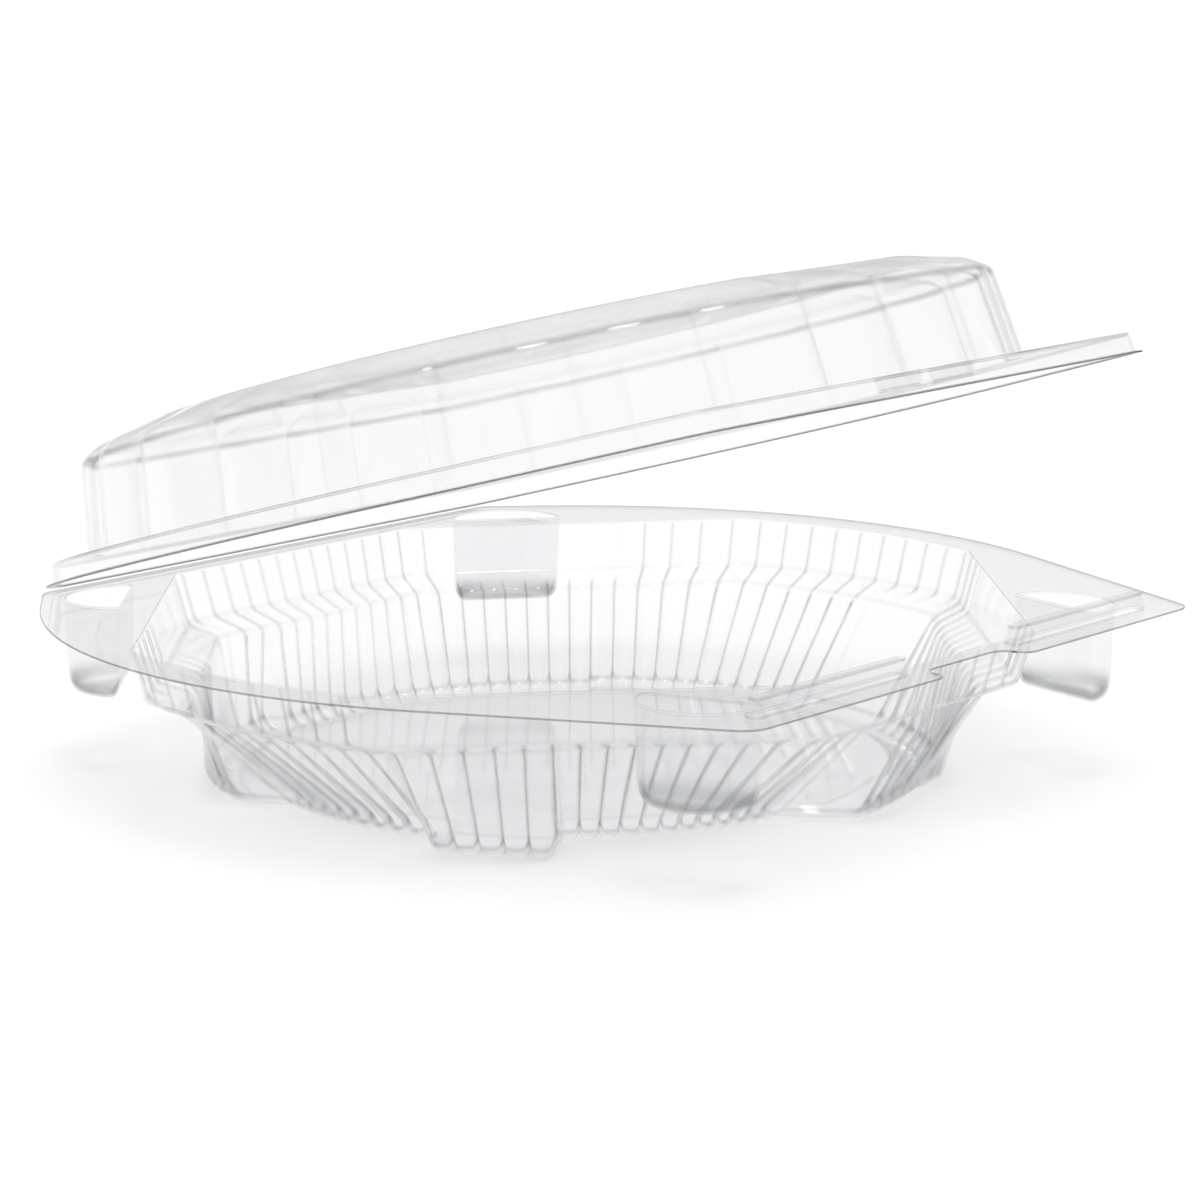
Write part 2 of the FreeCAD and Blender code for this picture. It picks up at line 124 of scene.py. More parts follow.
# Raised lock bars on the tray, sunk dimples in the lid
BAR_SIZE = (54.0, 4.0, 4.0)
BAR_PLACE = (47.5, -110.6)
BAR_DRAFT = 0.5
BAR_CORNER = 1.2
BAR_CORNER_SHARE = 0.8
BAR_LEAST_CORNER = 0.15
DIMPLE_SIZE = (13.0, 3.8, 3.0)
DIMPLE_PLACE = (10.0, -110.0)
DIMPLE_DRAFT = 0.4

# The lid as it lies on the closed tray
LID_CLEARANCE = 0.3
HINGE_GAP = 0.3
LID_INSET = 2.2
LID_FRONT_EDGE = 115.5
LID_EAR_RADIUS = 12.0
LIP_WIDTH = 1.6
RISER_HEIGHT = 4.8
RISER_DRAFT = 0.7
FLUTE_COUNT = 24
COLUMNS_PER_FLUTE = 32
FLUTE_ROUNDNESS = 0.7
FLUTE_DEPTH = 2.6
DOME_RADIUS = 113.0
DOME_FLATS = ((0.0, 107.5), (180.0, 93.5))
DOME_WALL_HEIGHT = 21.5
DOME_WALL_DRAFT = 3.0
SHOULDER_HEIGHT = 2.6
SHOULDER_WIDTH = 3.4
ROOF_SLOPE_WIDTH = 14.0
ROOF_RISE = 3.6

# How finely round stretches are drawn
BEND_STEPS = 5
BEND_REACH_SHARE = 0.48
ARC_STEP_DEGREES = 1.5
SMALL_ARC_RADIUS = 20.0
SMALL_ARC_STEP_DEGREES = 6.0
LEAST_ARC_STEPS = 4
POCKET_ARC_STEPS = 28
POCKET_CORNER_STEPS = 6
SHARP_ANGLE_DEGREES = 38.0

# A straight wall limits a circle only where the cosine of the angle between them is above this
FLAT_REACH = 0.3

# Short flat stretches that the profiles start and end with
FLAT_START = 0.6
FLOOR_FLAT_END = 3.0
ROOF_FLAT_END = 4.0
BAR_FLAT_END = 0.9
DIMPLE_FLAT_END = 0.8
EDGE_FLAT_TOP = 1.0
LID_EDGE_FLAT_UNDER = 0.8

# Where the bends of the small forms and of the borders start before each corner
POCKET_BENDS = (0.4, POCKET_ROUNDING)
BAR_BENDS = (0.5, 0.6)
DIMPLE_BENDS = (0.4, 0.6)
TRAY_EDGE_BENDS = (0.12, 0.12)
LID_EDGE_BENDS = (0.8, 0.5, 0.12, 0.12, 0.5, 0.7)

# The two corners of each border's profile that the cut edge lies between
TRAY_EDGE_CORNERS = (1, 2)
LID_EDGE_CORNERS = (3, 4)

# Painted shade: tight bends of the clear film are darkened into thin grey marks that stand in for
# refraction and reflection there; this mesh attribute says where and how strongly
BEND_SHADE_ATTRIBUTE = "bend_shade"
BEND_SHADE_SHARPNESS = 3.0
BEND_SHADE_SQUARE_ON = 0.35
FITTING_BEND_SHADE = 1.0
DOME_CREASE_SHADE = 0.5
SHOULDER_CREASE_SHARE = 0.8
TOE_CREASE_SHARE = 0.7

# Colours of the film and of its cut edges: seen square on, and where they turn away from the viewer. The
# darkening as they turn away is painted shade for the darker surroundings seen in clear film at a slant,
# with a little real darkening from the longer path through it; the greys of the cut edges are painted
# shade for how light bends in the sheet's edge, lighter on the tray than on the lid.
FILM_CLEAR = (0.972, 0.973, 0.975, 1.0)
FILM_GRAZING_SHADE = (0.30, 0.31, 0.32, 1.0)
TRAY_EDGE_SHADE = (0.50, 0.50, 0.51, 1.0)
LID_EDGE_SHADE = (0.30, 0.30, 0.31, 1.0)
EDGE_GRAZING_SHADE = (0.08, 0.08, 0.08, 1.0)

# How much the film mirrors: seen square on, and how fast that grows as it turns away
SQUARE_ON_REFLECTION = 0.04
REFLECTION_POWER = 5.0

# The key light
SUN_STRENGTH = 0.6
SUN_WIDTH_DEGREES = 20.0
SUN_TILT_DEGREES = (14.0, -12.0)

# The photograph's view
VIEW_AZIMUTH = -50.0
VIEW_ELEVATION = 11.3
VIEW_DISTANCE = 900.0
VIEW_TARGET = (0.0, 1.5, 42.0)
FOCAL_LENGTH = 114.0
SENSOR_WIDTH = 36.0


def turn_between(angle, other):
    """Signed difference of two angles, within half a turn."""
    return (angle - other + 180.0) % 360.0 - 180.0


def smooth_step(share):
    share = min(max(share, 0.0), 1.0)
    return share * share * (3.0 - 2.0 * share)


def polar(angle, radius, z):
    """A point at an angle from the front (-Y) towards +X."""
    turn = math.radians(angle)
    return (radius * math.sin(turn), -radius * math.cos(turn), z)


def flat_limited_radius(angle, radius, flats):
    """Radius of a circle that straight walls cut."""
    reach = radius
    for direction, distance in flats:
        away = math.radians(turn_between(angle, direction))
        if math.cos(away) > FLAT_REACH:
            reach = min(reach, distance / math.cos(away))
    return reach


def rib_share(angle, plain):
    """1 where the wall is ribbed and 0 on its plain panels."""
    wrapped = turn_between(angle, 0.0)
    share = 1.0
    for start, end in plain:
        outside = max(start - wrapped, wrapped - end)
        share = min(share, smooth_step(outside / PLAIN_FADE + 0.5))
    return share


def lower_inset(angle):
    wrapped = turn_between(angle, 0.0)
    value = INSETS[-1][2]
    for start, ramp, target in INSETS:
        share = smooth_step((wrapped - start + ramp) / ramp)
        value += (target - value) * share
    return value


def offset_profile(profile):
    """A (distance, height) profile moved to the sheet's other side, with mitred corners."""
    normals = []
    for (r0, z0), (r1, z1) in zip(profile, profile[1:]):
        length = math.hypot(r1 - r0, z1 - z0)
        normals.append(((z0 - z1) / length, (r1 - r0) / length))
    normals.append(normals[-1])
    moved = []
    for index, (radius, height) in enumerate(profile):
        ahead = normals[index]
        behind = normals[max(index - 1, 0)]
        sum_r = ahead[0] + behind[0]
        sum_z = ahead[1] + behind[1]
        stretch = SHEET / (sum_r * ahead[0] + sum_z * ahead[1])
        moved.append((radius + sum_r * stretch, height + sum_z * stretch))
    return moved


def bend_corners(profile, bends):
    """The profile with each inner corner drawn as a bend that starts that far before it."""
    smooth = [profile[0]]
    for index, bend in enumerate(bends, start=1):
        corner = Vector(profile[index])
        before = Vector(profile[index - 1]) - corner
        after = Vector(profile[index + 1]) - corner
        start = corner + before * min(bend / before.length, BEND_REACH_SHARE)
        end = corner + after * min(bend / after.length, BEND_REACH_SHARE)
        for step in range(BEND_STEPS + 1):
            t = step / BEND_STEPS
            on_curve = start * (1 - t) ** 2 + corner * 2 * t * (1 - t) + end * t ** 2
            smooth.append(tuple(on_curve))
    smooth.append(profile[-1])
    return smooth


def arc_points(centre, radius, first, last, steps):
    """Points of an arc: angles in radians from +X towards +Y."""
    points = []
    for step in range(steps + 1):
        turn = first + (last - first) * step / steps
        points.append((centre[0] + radius * math.cos(turn), centre[1] + radius * math.sin(turn)))
    return points


def rounded_loop(corners):
    """Points of a closed outline of straight edges with rounded corners: corners are (x, y, radius)."""
    loop = []
    count = len(corners)
    for index, (x, y, radius) in enumerate(corners):
        here = Vector((x, y))
        to_before = (Vector(corners[index - 1][:2]) - here).normalized()
        to_after = (Vector(corners[(index + 1) % count][:2]) - here).normalized()
        half = to_before.angle(to_after) / 2.0
        centre = here + (to_before + to_after).normalized() * (radius / math.sin(half))
        start = here + to_before * (radius / math.tan(half)) - centre
        end = here + to_after * (radius / math.tan(half)) - centre
        first = math.atan2(start.y, start.x)
        sweep = math.radians(turn_between(math.degrees(math.atan2(end.y, end.x)), math.degrees(first)))
        arc_step = ARC_STEP_DEGREES if radius > SMALL_ARC_RADIUS else SMALL_ARC_STEP_DEGREES
        steps = max(LEAST_ARC_STEPS, round((180.0 - math.degrees(half) * 2.0) / arc_step))
        loop += arc_points(centre, radius, first, first + sweep, steps)
    return loop


def outline_corners(radius, front, back, ear_radius, hinge_radius):
    """Corners of a rounded outline with two ears at the front and a straight back."""
    first, last = (math.radians(angle) for angle in SIDE_ARC)
    ear_x = (radius - front * math.cos(first)) / math.sin(first)
    hinge_x = (radius + back * math.cos(last)) / math.sin(last)
    middle = (first + last) / 2.0
    reach = radius / math.cos((last - first) / 2.0)
    right = [
        (ear_x, -front, ear_radius),
        (reach * math.sin(middle), -reach * math.cos(middle), radius),
        (hinge_x, back, hinge_radius),
    ]
    left = [(-x, y, corner) for x, y, corner in reversed(right)]
    return right + left


def tray_outline(inset):
    corners = outline_corners(FLANGE_RADIUS - inset, FRONT_EDGE - inset, HINGE_EDGE - inset,
                              EAR_TIP_RADIUS - inset, HINGE_CORNER_RADIUS - inset)
    half = NOTCH_HALF_WIDTH + inset
    front_y = inset - FRONT_EDGE
    inner_y = front_y + NOTCH_DEPTH
    corners += [(-half, front_y, NOTCH_RADIUS - inset), (-half, inner_y, NOTCH_RADIUS + inset),
                (half, inner_y, NOTCH_RADIUS + inset), (half, front_y, NOTCH_RADIUS - inset)]
    return rounded_loop(corners)


def lid_outline(inset):
    return rounded_loop(outline_corners(
        FLANGE_RADIUS - LID_INSET - inset, LID_FRONT_EDGE - inset, HINGE_EDGE - HINGE_GAP - inset,
        LID_EAR_RADIUS - inset, HINGE_CORNER_RADIUS - inset))


def pocket_loop(place, inset):
    """Half-round outline of a cup pocket, moved inwards by inset."""
    x, y, outward = place
    radius = POCKET_RADIUS - inset
    fillet = POCKET_CORNER * (1.0 - inset / POCKET_CORNER_END)
    fillet_y = math.sqrt((radius - fillet) ** 2 - (inset + fillet) ** 2)
    half = math.atan2(fillet_y, inset + fillet)
    local = arc_points((0.0, 0.0), radius, -half, half, POCKET_ARC_STEPS)
    local += arc_points((inset + fillet, fillet_y), fillet, half, math.pi, POCKET_CORNER_STEPS)
    closing = arc_points((inset + fillet, -fillet_y), fillet, -math.pi, -half, POCKET_CORNER_STEPS)
    local += closing[:-1]
    turn = math.radians(outward - 90.0)
    return [(x + u * math.cos(turn) - v * math.sin(turn), y + u * math.sin(turn) + v * math.cos(turn))
            for u, v in local]


def bar_loop(place, size, inset):
    """Rounded rectangle of a lock bar or dimple, moved inwards by inset."""
    half_x = size[0] / 2.0 - inset
    half_y = size[1] / 2.0 - inset
    radius = max(min(BAR_CORNER - inset, half_y * BAR_CORNER_SHARE), BAR_LEAST_CORNER)
    x, y = place
    return rounded_loop([(x + half_x, y - half_y, radius), (x + half_x, y + half_y, radius),
                         (x - half_x, y + half_y, radius), (x - half_x, y - half_y, radius)])


class SheetMesh:
    """Collects rings of points and the faces between them, and makes one closed mesh."""

    def __init__(self, name, materials):
        self.name = name
        self.materials = materials
        self.points = []
        self.bend_shades = []
        self.faces = []
        self.smooth = []
        self.slots = []

    def ring(self, points, bend_shades):
        """Adds a ring; the last argument says how strongly the painted bend shade darkens the film at each
        point, from 0 to 1.
        """
        start = len(self.points)
        self.points += points
        self.bend_shades += bend_shades
        return list(range(start, len(self.points)))

    def level_ring(self, loop, z, bend_shade):
        return self.ring([(x, y, z) for x, y in loop], [bend_shade] * len(loop))

    def add(self, face, smooth, slot):
        self.faces.append(face)
        self.smooth.append(smooth)
        self.slots.append(slot)

    def loft(self, rings, slot=0):
        """Bands of four-sided faces between successive rings."""
        for upper, lower in zip(rings, rings[1:]):
            for index in range(len(upper)):
                before = index - 1
                self.add((upper[before], upper[index], lower[index], lower[before]), True, slot)

    def cap(self, ring):
        self.add(tuple(ring), False, 0)

    def plane(self, border, holes):
        """A flat face with holes, between rings that are already there."""
        rings = [border] + holes
        order = [index for ring in rings for index in ring]
        flat = [[Vector((self.points[index][0], self.points[index][1], 0.0)) for index in ring]
                for ring in rings]
        for triangle in tessellate_polygon(flat):
            self.add(tuple(order[index] for index in triangle), False, 0)

    def build(self, placement):
        mesh = bpy.data.meshes.new(self.name)
        mesh.from_pydata([placement @ (Vector(point) * MM) for point in self.points], [], self.faces)
        mesh.polygons.foreach_set("use_smooth", self.smooth)
        mesh.polygons.foreach_set("material_index", self.slots)
        mesh.attributes.new(BEND_SHADE_ATTRIBUTE, "FLOAT", "POINT").data.foreach_set("value", self.bend_shades)
        for material in self.materials:
            mesh.materials.append(material)
        tidy = bmesh.new()
        tidy.from_mesh(mesh)
        bmesh.ops.recalc_face_normals(tidy, faces=tidy.faces)
        tidy.to_mesh(mesh)
        tidy.free()
        mesh.set_sharp_from_angle(angle=math.radians(SHARP_ANGLE_DEGREES))
        made = bpy.data.objects.new(self.name, mesh)
        bpy.context.scene.collection.objects.link(made)
        return made


def tray_profile(angle, bulge):
    """Corners of the bowl's upper skin at one angle, from the flange to the floor."""
    upper = rib_share(angle, PLAIN_UPPER) * bulge * UPPER_RIB_DEPTH / 2.0
    lower = rib_share(angle, PLAIN_LOWER) * bulge * LOWER_RIB_DEPTH / 2.0
    mouth = flat_limited_radius(angle, MOUTH_RADIUS, MOUTH_FLATS)
    foot = mouth - UPPER_WALL_DRAFT
    ledge = foot - LEDGE_WIDTH
    toe = BOTTOM_RADIUS - lower_inset(angle)
    bead = toe - TOE_WIDTH
    step = bead - BEAD_WIDTH
    lead_draft = UPPER_WALL_DRAFT * RIB_LEAD_IN / UPPER_WALL_HEIGHT
    foot_z = TRAY_HEIGHT - UPPER_WALL_HEIGHT
    lift = rib_share(angle, PLAIN_LOWER) * max(-bulge, 0.0) * TOE_LIFT
    return [
        (mouth + FLAT_START, TRAY_HEIGHT),
        (mouth, TRAY_HEIGHT),
        (mouth - lead_draft + upper, TRAY_HEIGHT - RIB_LEAD_IN),
        (foot + upper, foot_z),
        (ledge + lower, foot_z - LEDGE_DROP),
        (toe + lower * TOE_SWELL, SHEET + TOE_HEIGHT + lift),
        (bead + lower, SHEET + lift * BEAD_LIFT_SHARE),
        (step, SHEET),
        (step - FLOOR_STEP_WIDTH, SHEET + FLOOR_RISE),
        (step - FLOOR_STEP_WIDTH - FLOOR_FLAT_END, SHEET + FLOOR_RISE),
    ]


TRAY_BENDS = (0.4, 0.5, 1.6, 1.8, 1.4, 1.2, 1.2, 1.2)
# Painted shade at each bend of the bowl's profile, darkest in the bend's middle
TRAY_BEND_SHADES = (0.9, 0.0, 0.55, 0.55, 0.8, 0.55, 0.55, 0.7)


def tray_crease_shade(angle, bulge):
    """How much painted shade darkens the groove of a rib at each corner of the profile."""
    groove = max(-bulge, 0.0)
    upper = rib_share(angle, PLAIN_UPPER) * groove
    lower = rib_share(angle, PLAIN_LOWER) * groove
    return (0.0, upper, upper, lower, lower, lower * TOE_CREASE_SHARE, 0.0, 0.0)


def dome_profile(angle, crest, foot_z):
    """Corners of the dome's upper skin at one angle, from the platform to the roof."""
    foot = flat_limited_radius(angle, DOME_RADIUS, DOME_FLATS)
    flute = FLUTE_DEPTH * (1.0 - crest)
    wall = foot - DOME_WALL_DRAFT - flute
    shoulder = wall - SHOULDER_WIDTH
    roof = shoulder - ROOF_SLOPE_WIDTH + flute
    wall_z = foot_z + DOME_WALL_HEIGHT
    shoulder_z = wall_z + SHOULDER_HEIGHT
    return [
        (foot - flute + FLAT_START, foot_z),
        (foot - flute, foot_z),
        (wall, wall_z),
        (shoulder, shoulder_z),
        (roof, shoulder_z + ROOF_RISE),
        (roof - ROOF_FLAT_END, shoulder_z + ROOF_RISE),
    ]


DOME_BENDS = (0.55, 1.8, 2.0, 3.0)
# Painted shade at each bend of the dome's profile, darkest in the bend's middle
DOME_BEND_SHADES = (0.85, 0.95, 0.5, 0.4)


def dome_crease_shade(angle, crest):
    # Painted shade in the flute grooves at the dome's foot, wall top and shoulder
    groove = max(1.0 - 2.0 * crest, 0.0) * DOME_CREASE_SHADE
    return (groove, groove, groove * SHOULDER_CREASE_SHARE, 0.0)


def scallops(count, columns_each, power):
    """Angles round a scalloped wall, with how far each lies out: 0 in a crease and 1 on a crest."""
    total = count * columns_each
    rows = []
    for index in range(total):
        phase = math.pi * (index % columns_each) / columns_each
        rows.append((index * 360.0 / total, math.sin(phase) ** power))
    return rows


def bend_shade_levels(strengths, crease_shades=None):
    """Painted shade at each level of a bent profile: every bend is darkest in its middle."""
    levels = [0.0]
    for strength, crease in zip(strengths, crease_shades or [0.0] * len(strengths)):
        for step in range(BEND_STEPS + 1):
            levels.append(max(crease, strength * math.sin(math.pi * step / BEND_STEPS)))
    levels.append(0.0)
    return levels


def wall_skins(mesh, rows, profile_at, bends, strengths, crease_shade_at):
    """Both skins of a round wall; gives back the ring that each one starts with."""
    bend_shades = [bend_shade_levels(strengths, crease_shade_at(angle, weight)) for angle, weight in rows]
    starts = []
    for side in (0, 1):
        columns = []
        for angle, weight in rows:
            corners = profile_at(angle, weight)
            if side:
                corners = offset_profile(corners)
            columns.append([polar(angle, radius, z) for radius, z in bend_corners(corners, bends)])
        rings = [mesh.ring([column[level] for column in columns], [bend_shade[level] for bend_shade in bend_shades])
                 for level in range(len(columns[0]))]
        mesh.loft(rings)
        mesh.cap(rings[-1])
        starts.append(rings[0])
    return starts


def fitting_skins(mesh, loop_at, profile, bends):
    """Both skins of a pocket, bar or dimple whose outline is loop_at(inset)."""
    bend_shades = bend_shade_levels([FITTING_BEND_SHADE] * len(bends))
    starts = []
    for corners in (profile, offset_profile(profile)):
        rings = [mesh.level_ring(loop_at(inset), z, bend_shade)
                 for (inset, z), bend_shade in zip(bend_corners(corners, bends), bend_shades)]
        mesh.loft(rings)
        mesh.cap(rings[-1])
        starts.append(rings[0])
    return starts


def edge_skin(mesh, loop_at, profile, bends, edge_corners):
    """The skin that goes round the sheet's border, from its top plane to its under plane."""
    bend_shades = bend_shade_levels([FITTING_BEND_SHADE] * len(bends))
    rings = [mesh.level_ring(loop_at(inset), z, bend_shade)
             for (inset, z), bend_shade in zip(bend_corners(profile, bends), bend_shades)]
    first = 1 + (edge_corners[0] - 1) * (BEND_STEPS + 1)
    last = edge_corners[1] * (BEND_STEPS + 1)
    mesh.loft(rings[:first + 1])
    mesh.loft(rings[first:last + 1], slot=1)
    mesh.loft(rings[last:])
    return rings[0], rings[-1]


def pocket_places():
    back = math.radians(BACK_POCKET_TURN)
    back_x = BACK_POCKET_DISTANCE * math.sin(back)
    back_y = -BACK_POCKET_DISTANCE * math.cos(back)
    front_x, front_y, front_turn = FRONT_POCKET
    places = []
    for side in (-1.0, 1.0):
        places.append((side * front_x, front_y, side * front_turn))
        places.append((side * back_x, back_y, side * BACK_POCKET_TURN))
    return places


def make_tray(materials):
    """The bowl with its flange, cup pockets and lock bars."""
    mesh = SheetMesh("tray_sheet", materials)
    rows = scallops(RIB_COUNT, COLUMNS_PER_RIB, RIB_ROUNDNESS)
    rows = [(angle, 2.0 * crest - 1.0) for angle, crest in rows]
    holes = [wall_skins(mesh, rows, tray_profile, TRAY_BENDS, TRAY_BEND_SHADES, tray_crease_shade)]
    deep = TRAY_HEIGHT - POCKET_DEPTH
    pocket_profile = [(-FLAT_START, TRAY_HEIGHT), (0.0, TRAY_HEIGHT), (POCKET_DRAFT, deep),
                      (POCKET_FLOOR_INSET, deep)]
    for place in pocket_places():
        holes.append(fitting_skins(
            mesh, lambda inset, at=place: pocket_loop(at, -inset), [(-r, z) for r, z in pocket_profile],
            POCKET_BENDS))
    top = TRAY_HEIGHT + BAR_SIZE[2]
    bar_profile = [(FLAT_START, TRAY_HEIGHT), (0.0, TRAY_HEIGHT), (-BAR_DRAFT, top),
                   (-BAR_DRAFT - BAR_FLAT_END, top)]
    for side in (-1.0, 1.0):
        place = (side * BAR_PLACE[0], BAR_PLACE[1])
        holes.append(fitting_skins(
            mesh, lambda inset, at=place: bar_loop(at, BAR_SIZE, -inset), bar_profile, BAR_BENDS))
    under = TRAY_HEIGHT - SHEET
    edge_profile = [(EDGE_FLAT_TOP, TRAY_HEIGHT), (0.0, TRAY_HEIGHT), (0.0, under), (EDGE_FLAT_TOP, under)]
    border_top, border_under = edge_skin(
        mesh, tray_outline, edge_profile, TRAY_EDGE_BENDS, TRAY_EDGE_CORNERS)
    mesh.plane(border_top, [top_ring for top_ring, _ in holes])
    mesh.plane(border_under, [under_ring for _, under_ring in holes])
    return mesh.build(tray_placement())


def make_lid(materials, placement):
    """The lip, riser, platform and fluted dome."""
    mesh = SheetMesh("lid_sheet", materials)
    lip_under = TRAY_HEIGHT + LID_CLEARANCE
    lip_top = lip_under + SHEET
    platform = lip_top + RISER_HEIGHT
    rows = scallops(FLUTE_COUNT, COLUMNS_PER_FLUTE, FLUTE_ROUNDNESS)
    holes = [wall_skins(mesh, rows, lambda angle, crest: dome_profile(angle, crest, platform),
                        DOME_BENDS, DOME_BEND_SHADES, dome_crease_shade)]
    sunk = platform - DIMPLE_SIZE[2]
    dimple_profile = [(FLAT_START, platform), (0.0, platform), (-DIMPLE_DRAFT, sunk),
                      (-DIMPLE_DRAFT - DIMPLE_FLAT_END, sunk)]
    for side in (-1.0, 1.0):
        place = (side * DIMPLE_PLACE[0], DIMPLE_PLACE[1])
        holes.append(fitting_skins(
            mesh, lambda inset, at=place: bar_loop(at, DIMPLE_SIZE, -inset), dimple_profile, DIMPLE_BENDS))
    head = LIP_WIDTH + RISER_DRAFT
    edge_profile = [
        (head + EDGE_FLAT_TOP, platform),
        (head, platform),
        (LIP_WIDTH, lip_top),
        (0.0, lip_top),
        (0.0, lip_under),
        (LIP_WIDTH + SHEET, lip_under),
        (head + SHEET, platform - SHEET),
        (head + SHEET + LID_EDGE_FLAT_UNDER, platform - SHEET),
    ]
    border_top, border_under = edge_skin(
        mesh, lid_outline, edge_profile, LID_EDGE_BENDS, LID_EDGE_CORNERS)
    mesh.plane(border_top, [top_ring for top_ring, _ in holes])
    mesh.plane(border_under, [under_ring for _, under_ring in holes])
    return mesh.build(placement)


class Nodes:
    """Short way to make and join the nodes of one tree."""

    def __init__(self, tree):
        self.tree = tree
        tree.nodes.clear()

    def new(self, kind, settings=None, **inputs):
        node = self.tree.nodes.new(kind)
        for key, value in (settings or {}).items():
            setattr(node, key, value)
        for key, value in inputs.items():
            socket = node.inputs[int(key[1:])] if key[1:].isdigit() else node.inputs[key.replace("_", " ")]
            if isinstance(value, bpy.types.NodeSocket):
                self.tree.links.new(value, socket)
            else:
                socket.default_value = value
        return node

    def math(self, operation, first, second):
        return self.new("ShaderNodeMath", {"operation": operation}, i0=first, i1=second).outputs[0]


def clear_sheet(name, clear, grazing_shade, falloff, gloss, bend_shade_depth):
    """Clear film: its tint darkens as it turns away from the viewer, painted shade for the darker
    surroundings seen in it at a slant with a little real darkening from the longer path; it reflects more
    as it turns away, is slightly uneven in thickness, and carries the painted bend shade from the mesh.
    """
    material = bpy.data.materials.new(name)
    material.use_nodes = True
    nodes = Nodes(material.node_tree)
    place = nodes.new("ShaderNodeTexCoord").outputs["Object"]
    thick = nodes.new("ShaderNodeTexNoise", Vector=place, Scale=26.0, Detail=3.0, Roughness=0.5)
    ripple = nodes.new("ShaderNodeTexNoise", Vector=place, Scale=140.0, Detail=2.0, Roughness=0.4)
    bump = nodes.new("ShaderNodeBump", Height=ripple.outputs[0], Strength=0.05, Distance=0.0004)
    facing = nodes.new("ShaderNodeLayerWeight", Blend=0.5, Normal=bump.outputs[0]).outputs["Facing"]
    # Painted shade: the tint darkens as the film turns away from the viewer
    turned = nodes.math("POWER", facing, falloff)
    uneven = nodes.new("ShaderNodeMapRange", Value=thick.outputs[0], From_Min=0.3, From_Max=0.7,
                       To_Min=0.8, To_Max=1.15).outputs[0]
    # Painted shade at tight bends, read from the mesh attribute, stronger where the film turns away
    bend_shade = nodes.new("ShaderNodeAttribute", {"attribute_name": BEND_SHADE_ATTRIBUTE}).outputs["Fac"]
    sharp = nodes.math("POWER", bend_shade, BEND_SHADE_SHARPNESS)
    lean = nodes.math("ADD", facing, BEND_SHADE_SQUARE_ON)
    bend_shaded = nodes.math("MULTIPLY", nodes.math("MULTIPLY", sharp, lean), bend_shade_depth)
    depth = nodes.math("MULTIPLY", nodes.math("ADD", turned, bend_shaded), uneven)
    tint = nodes.new("ShaderNodeMix", {"data_type": "RGBA", "clamp_factor": True}, i0=depth,
                     i6=clear, i7=grazing_shade)
    through = nodes.new("ShaderNodeBsdfTransparent", Color=tint.outputs[2])
    mirror = nodes.new("ShaderNodeBsdfGlossy", Color=(1.0, 1.0, 1.0, 1.0), Roughness=0.06,
                       Normal=bump.outputs[0])
    steep = nodes.math("POWER", facing, REFLECTION_POWER)
    reflected = nodes.math("MULTIPLY_ADD", steep, gloss)
    reflected.node.inputs[2].default_value = SQUARE_ON_REFLECTION
    surface = nodes.new("ShaderNodeMixShader", i0=reflected, i1=through.outputs[0], i2=mirror.outputs[0])
    nodes.new("ShaderNodeOutputMaterial", Surface=surface.outputs[0])
    return material


def floor_material():
    material = bpy.data.materials.new("studio_table")
    material.use_nodes = True
    nodes = Nodes(material.node_tree)
    surface = nodes.new("ShaderNodeBsdfDiffuse", Color=(0.93, 0.93, 0.93, 1.0))
    nodes.new("ShaderNodeOutputMaterial", Surface=surface.outputs[0])
    return material


def make_floor():
    bpy.ops.mesh.primitive_plane_add(size=40.0)
    floor = bpy.context.object
    floor.name = "studio_floor"
    floor.data.materials.append(floor_material())


def make_world():
    """White to the camera; reflections see a bright ceiling and a darker band round the horizon."""
    world = bpy.data.worlds.new("studio")
    world.use_nodes = True
    bpy.context.scene.world = world
    nodes = Nodes(world.node_tree)
    way = nodes.new("ShaderNodeTexCoord").outputs["Generated"]
    height = nodes.new("ShaderNodeSeparateXYZ", Vector=way).outputs[2]
    level = nodes.new("ShaderNodeMapRange", Value=height, From_Min=0.0, From_Max=0.5,
                      To_Min=0.7, To_Max=1.0).outputs[0]
    light = nodes.new("ShaderNodeBackground", Color=(1.0, 1.0, 1.0, 1.0), Strength=level)
    white = nodes.new("ShaderNodeBackground", Color=(1.0, 1.0, 1.0, 1.0), Strength=1.0)
    camera_ray = nodes.new("ShaderNodeLightPath").outputs["Is Camera Ray"]
    both = nodes.new("ShaderNodeMixShader", i0=camera_ray, i1=light.outputs[0], i2=white.outputs[0])
    nodes.new("ShaderNodeOutputWorld", Surface=both.outputs[0])


def make_light():
    """A wide soft key from above, a little to the left."""
    sun = bpy.data.lights.new("key", "SUN")
    sun.energy = SUN_STRENGTH
    sun.angle = math.radians(SUN_WIDTH_DEGREES)
    lamp = bpy.data.objects.new("key", sun)
    tilt_x, tilt_y = (math.radians(tilt) for tilt in SUN_TILT_DEGREES)
    lamp.rotation_euler = (tilt_x, tilt_y, 0.0)
    bpy.context.scene.collection.objects.link(lamp)


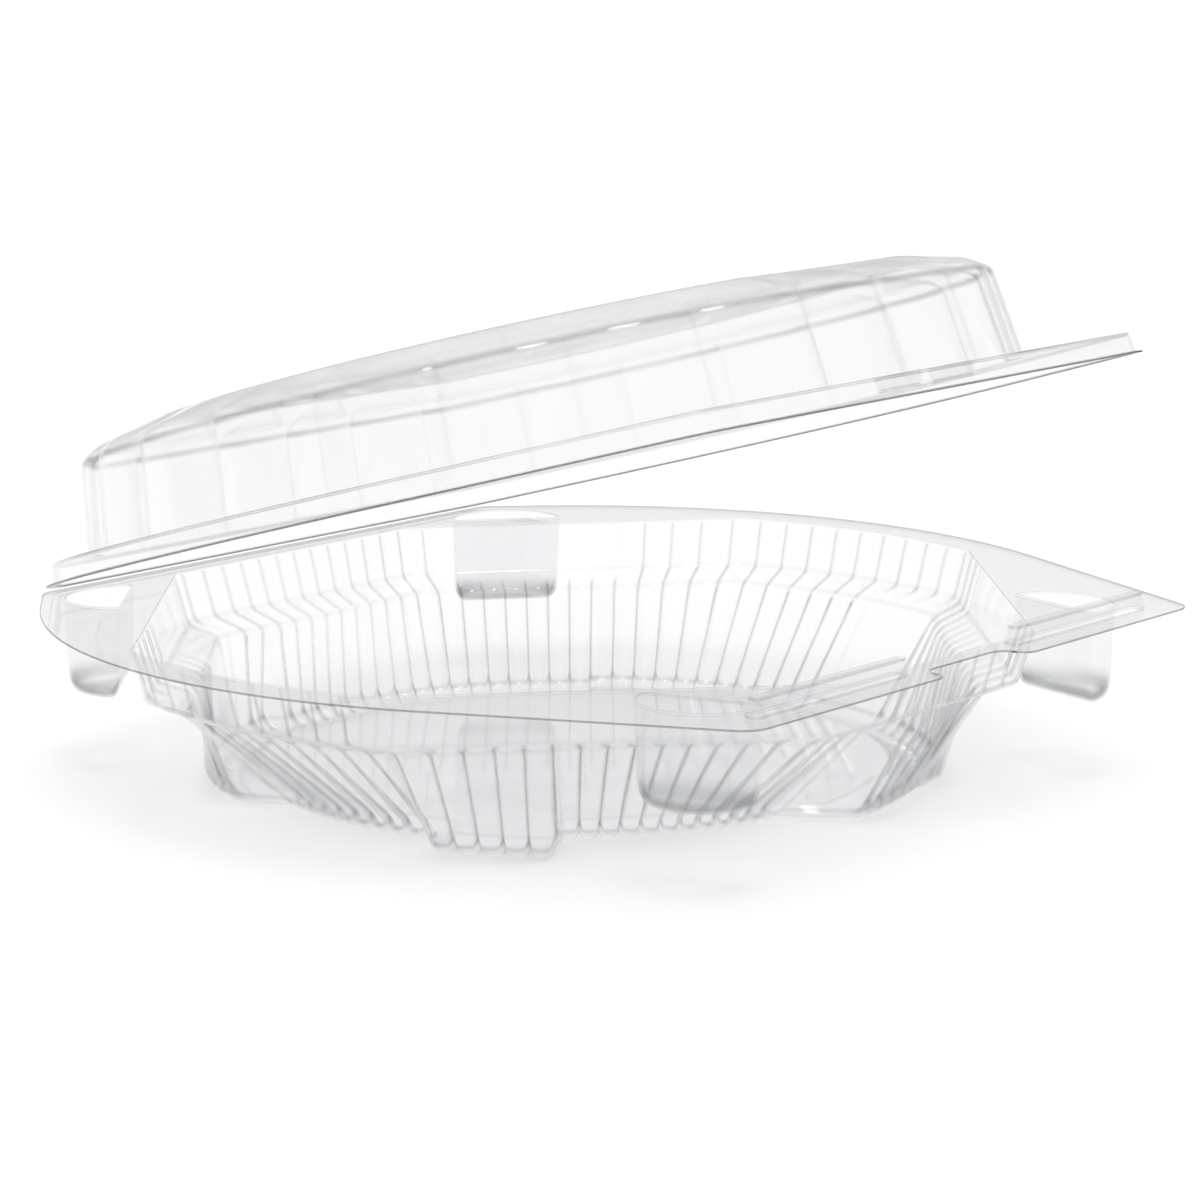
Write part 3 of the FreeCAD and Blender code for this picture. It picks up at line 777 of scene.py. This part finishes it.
def make_camera():
    azimuth = math.radians(VIEW_AZIMUTH)
    elevation = math.radians(VIEW_ELEVATION)
    back = Vector((math.sin(azimuth) * math.cos(elevation), -math.cos(azimuth) * math.cos(elevation),
                   math.sin(elevation)))
    data = bpy.data.cameras.new("photo_view")
    data.lens = FOCAL_LENGTH
    data.sensor_width = SENSOR_WIDTH
    data.clip_start = 0.05
    data.clip_end = 60.0
    camera = bpy.data.objects.new("photo_view", data)
    camera.location = (Vector(VIEW_TARGET) + back * VIEW_DISTANCE) * MM
    camera.rotation_mode = "QUATERNION"
    camera.rotation_quaternion = (-back).to_track_quat("-Z", "Y")
    bpy.context.scene.collection.objects.link(camera)
    bpy.context.scene.camera = camera


def tray_placement():
    """Moves what is drawn about the bowl's axis to the frame, whose origin is in the outline's middle."""
    return Matrix.Translation((0.0, (FRONT_EDGE - HINGE_EDGE) / 2.0 * MM, 0.0))


def lid_placement(fold):
    """Turns the closed lid open about the fold, by as much as it can still close."""
    pivot = Matrix.Translation(Vector(fold["pos_m"]))
    turn = Matrix.Rotation(math.radians(-fold["range_deg"][0]), 4, Vector(fold["axis"]))
    return pivot @ turn @ pivot.inverted() @ tray_placement()


def set_render():
    scene = bpy.context.scene
    scene.view_settings.view_transform = "Standard"
    scene.cycles.transparent_max_bounces = 64
    scene.cycles.max_bounces = 12


def main():
    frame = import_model()
    film = clear_sheet("clear_film", FILM_CLEAR, FILM_GRAZING_SHADE, falloff=18.0, gloss=0.9, bend_shade_depth=0.5)
    # The cut edges get painted shade: a grey tint that stands in for how light bends in the sheet's edge
    tray_edge = clear_sheet(
        "tray_edge", TRAY_EDGE_SHADE, EDGE_GRAZING_SHADE, falloff=3.0, gloss=0.6, bend_shade_depth=0.0)
    lid_edge = clear_sheet(
        "lid_edge", LID_EDGE_SHADE, EDGE_GRAZING_SHADE, falloff=3.0, gloss=0.6, bend_shade_depth=0.0)
    tray = make_tray([film, tray_edge])
    lid = make_lid([film, lid_edge], lid_placement(frame["joints"][0]))
    nodes = frame["record"]["behaviour"]["bodies"]
    for piece, body, slot in ((tray, "tray_body", "tray_plastic"), (lid, "lid_body", "lid_plastic")):
        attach(piece, body)
        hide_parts(*nodes[body])
    make_floor()
    make_world()
    make_light()
    make_camera()
    set_render()


main()
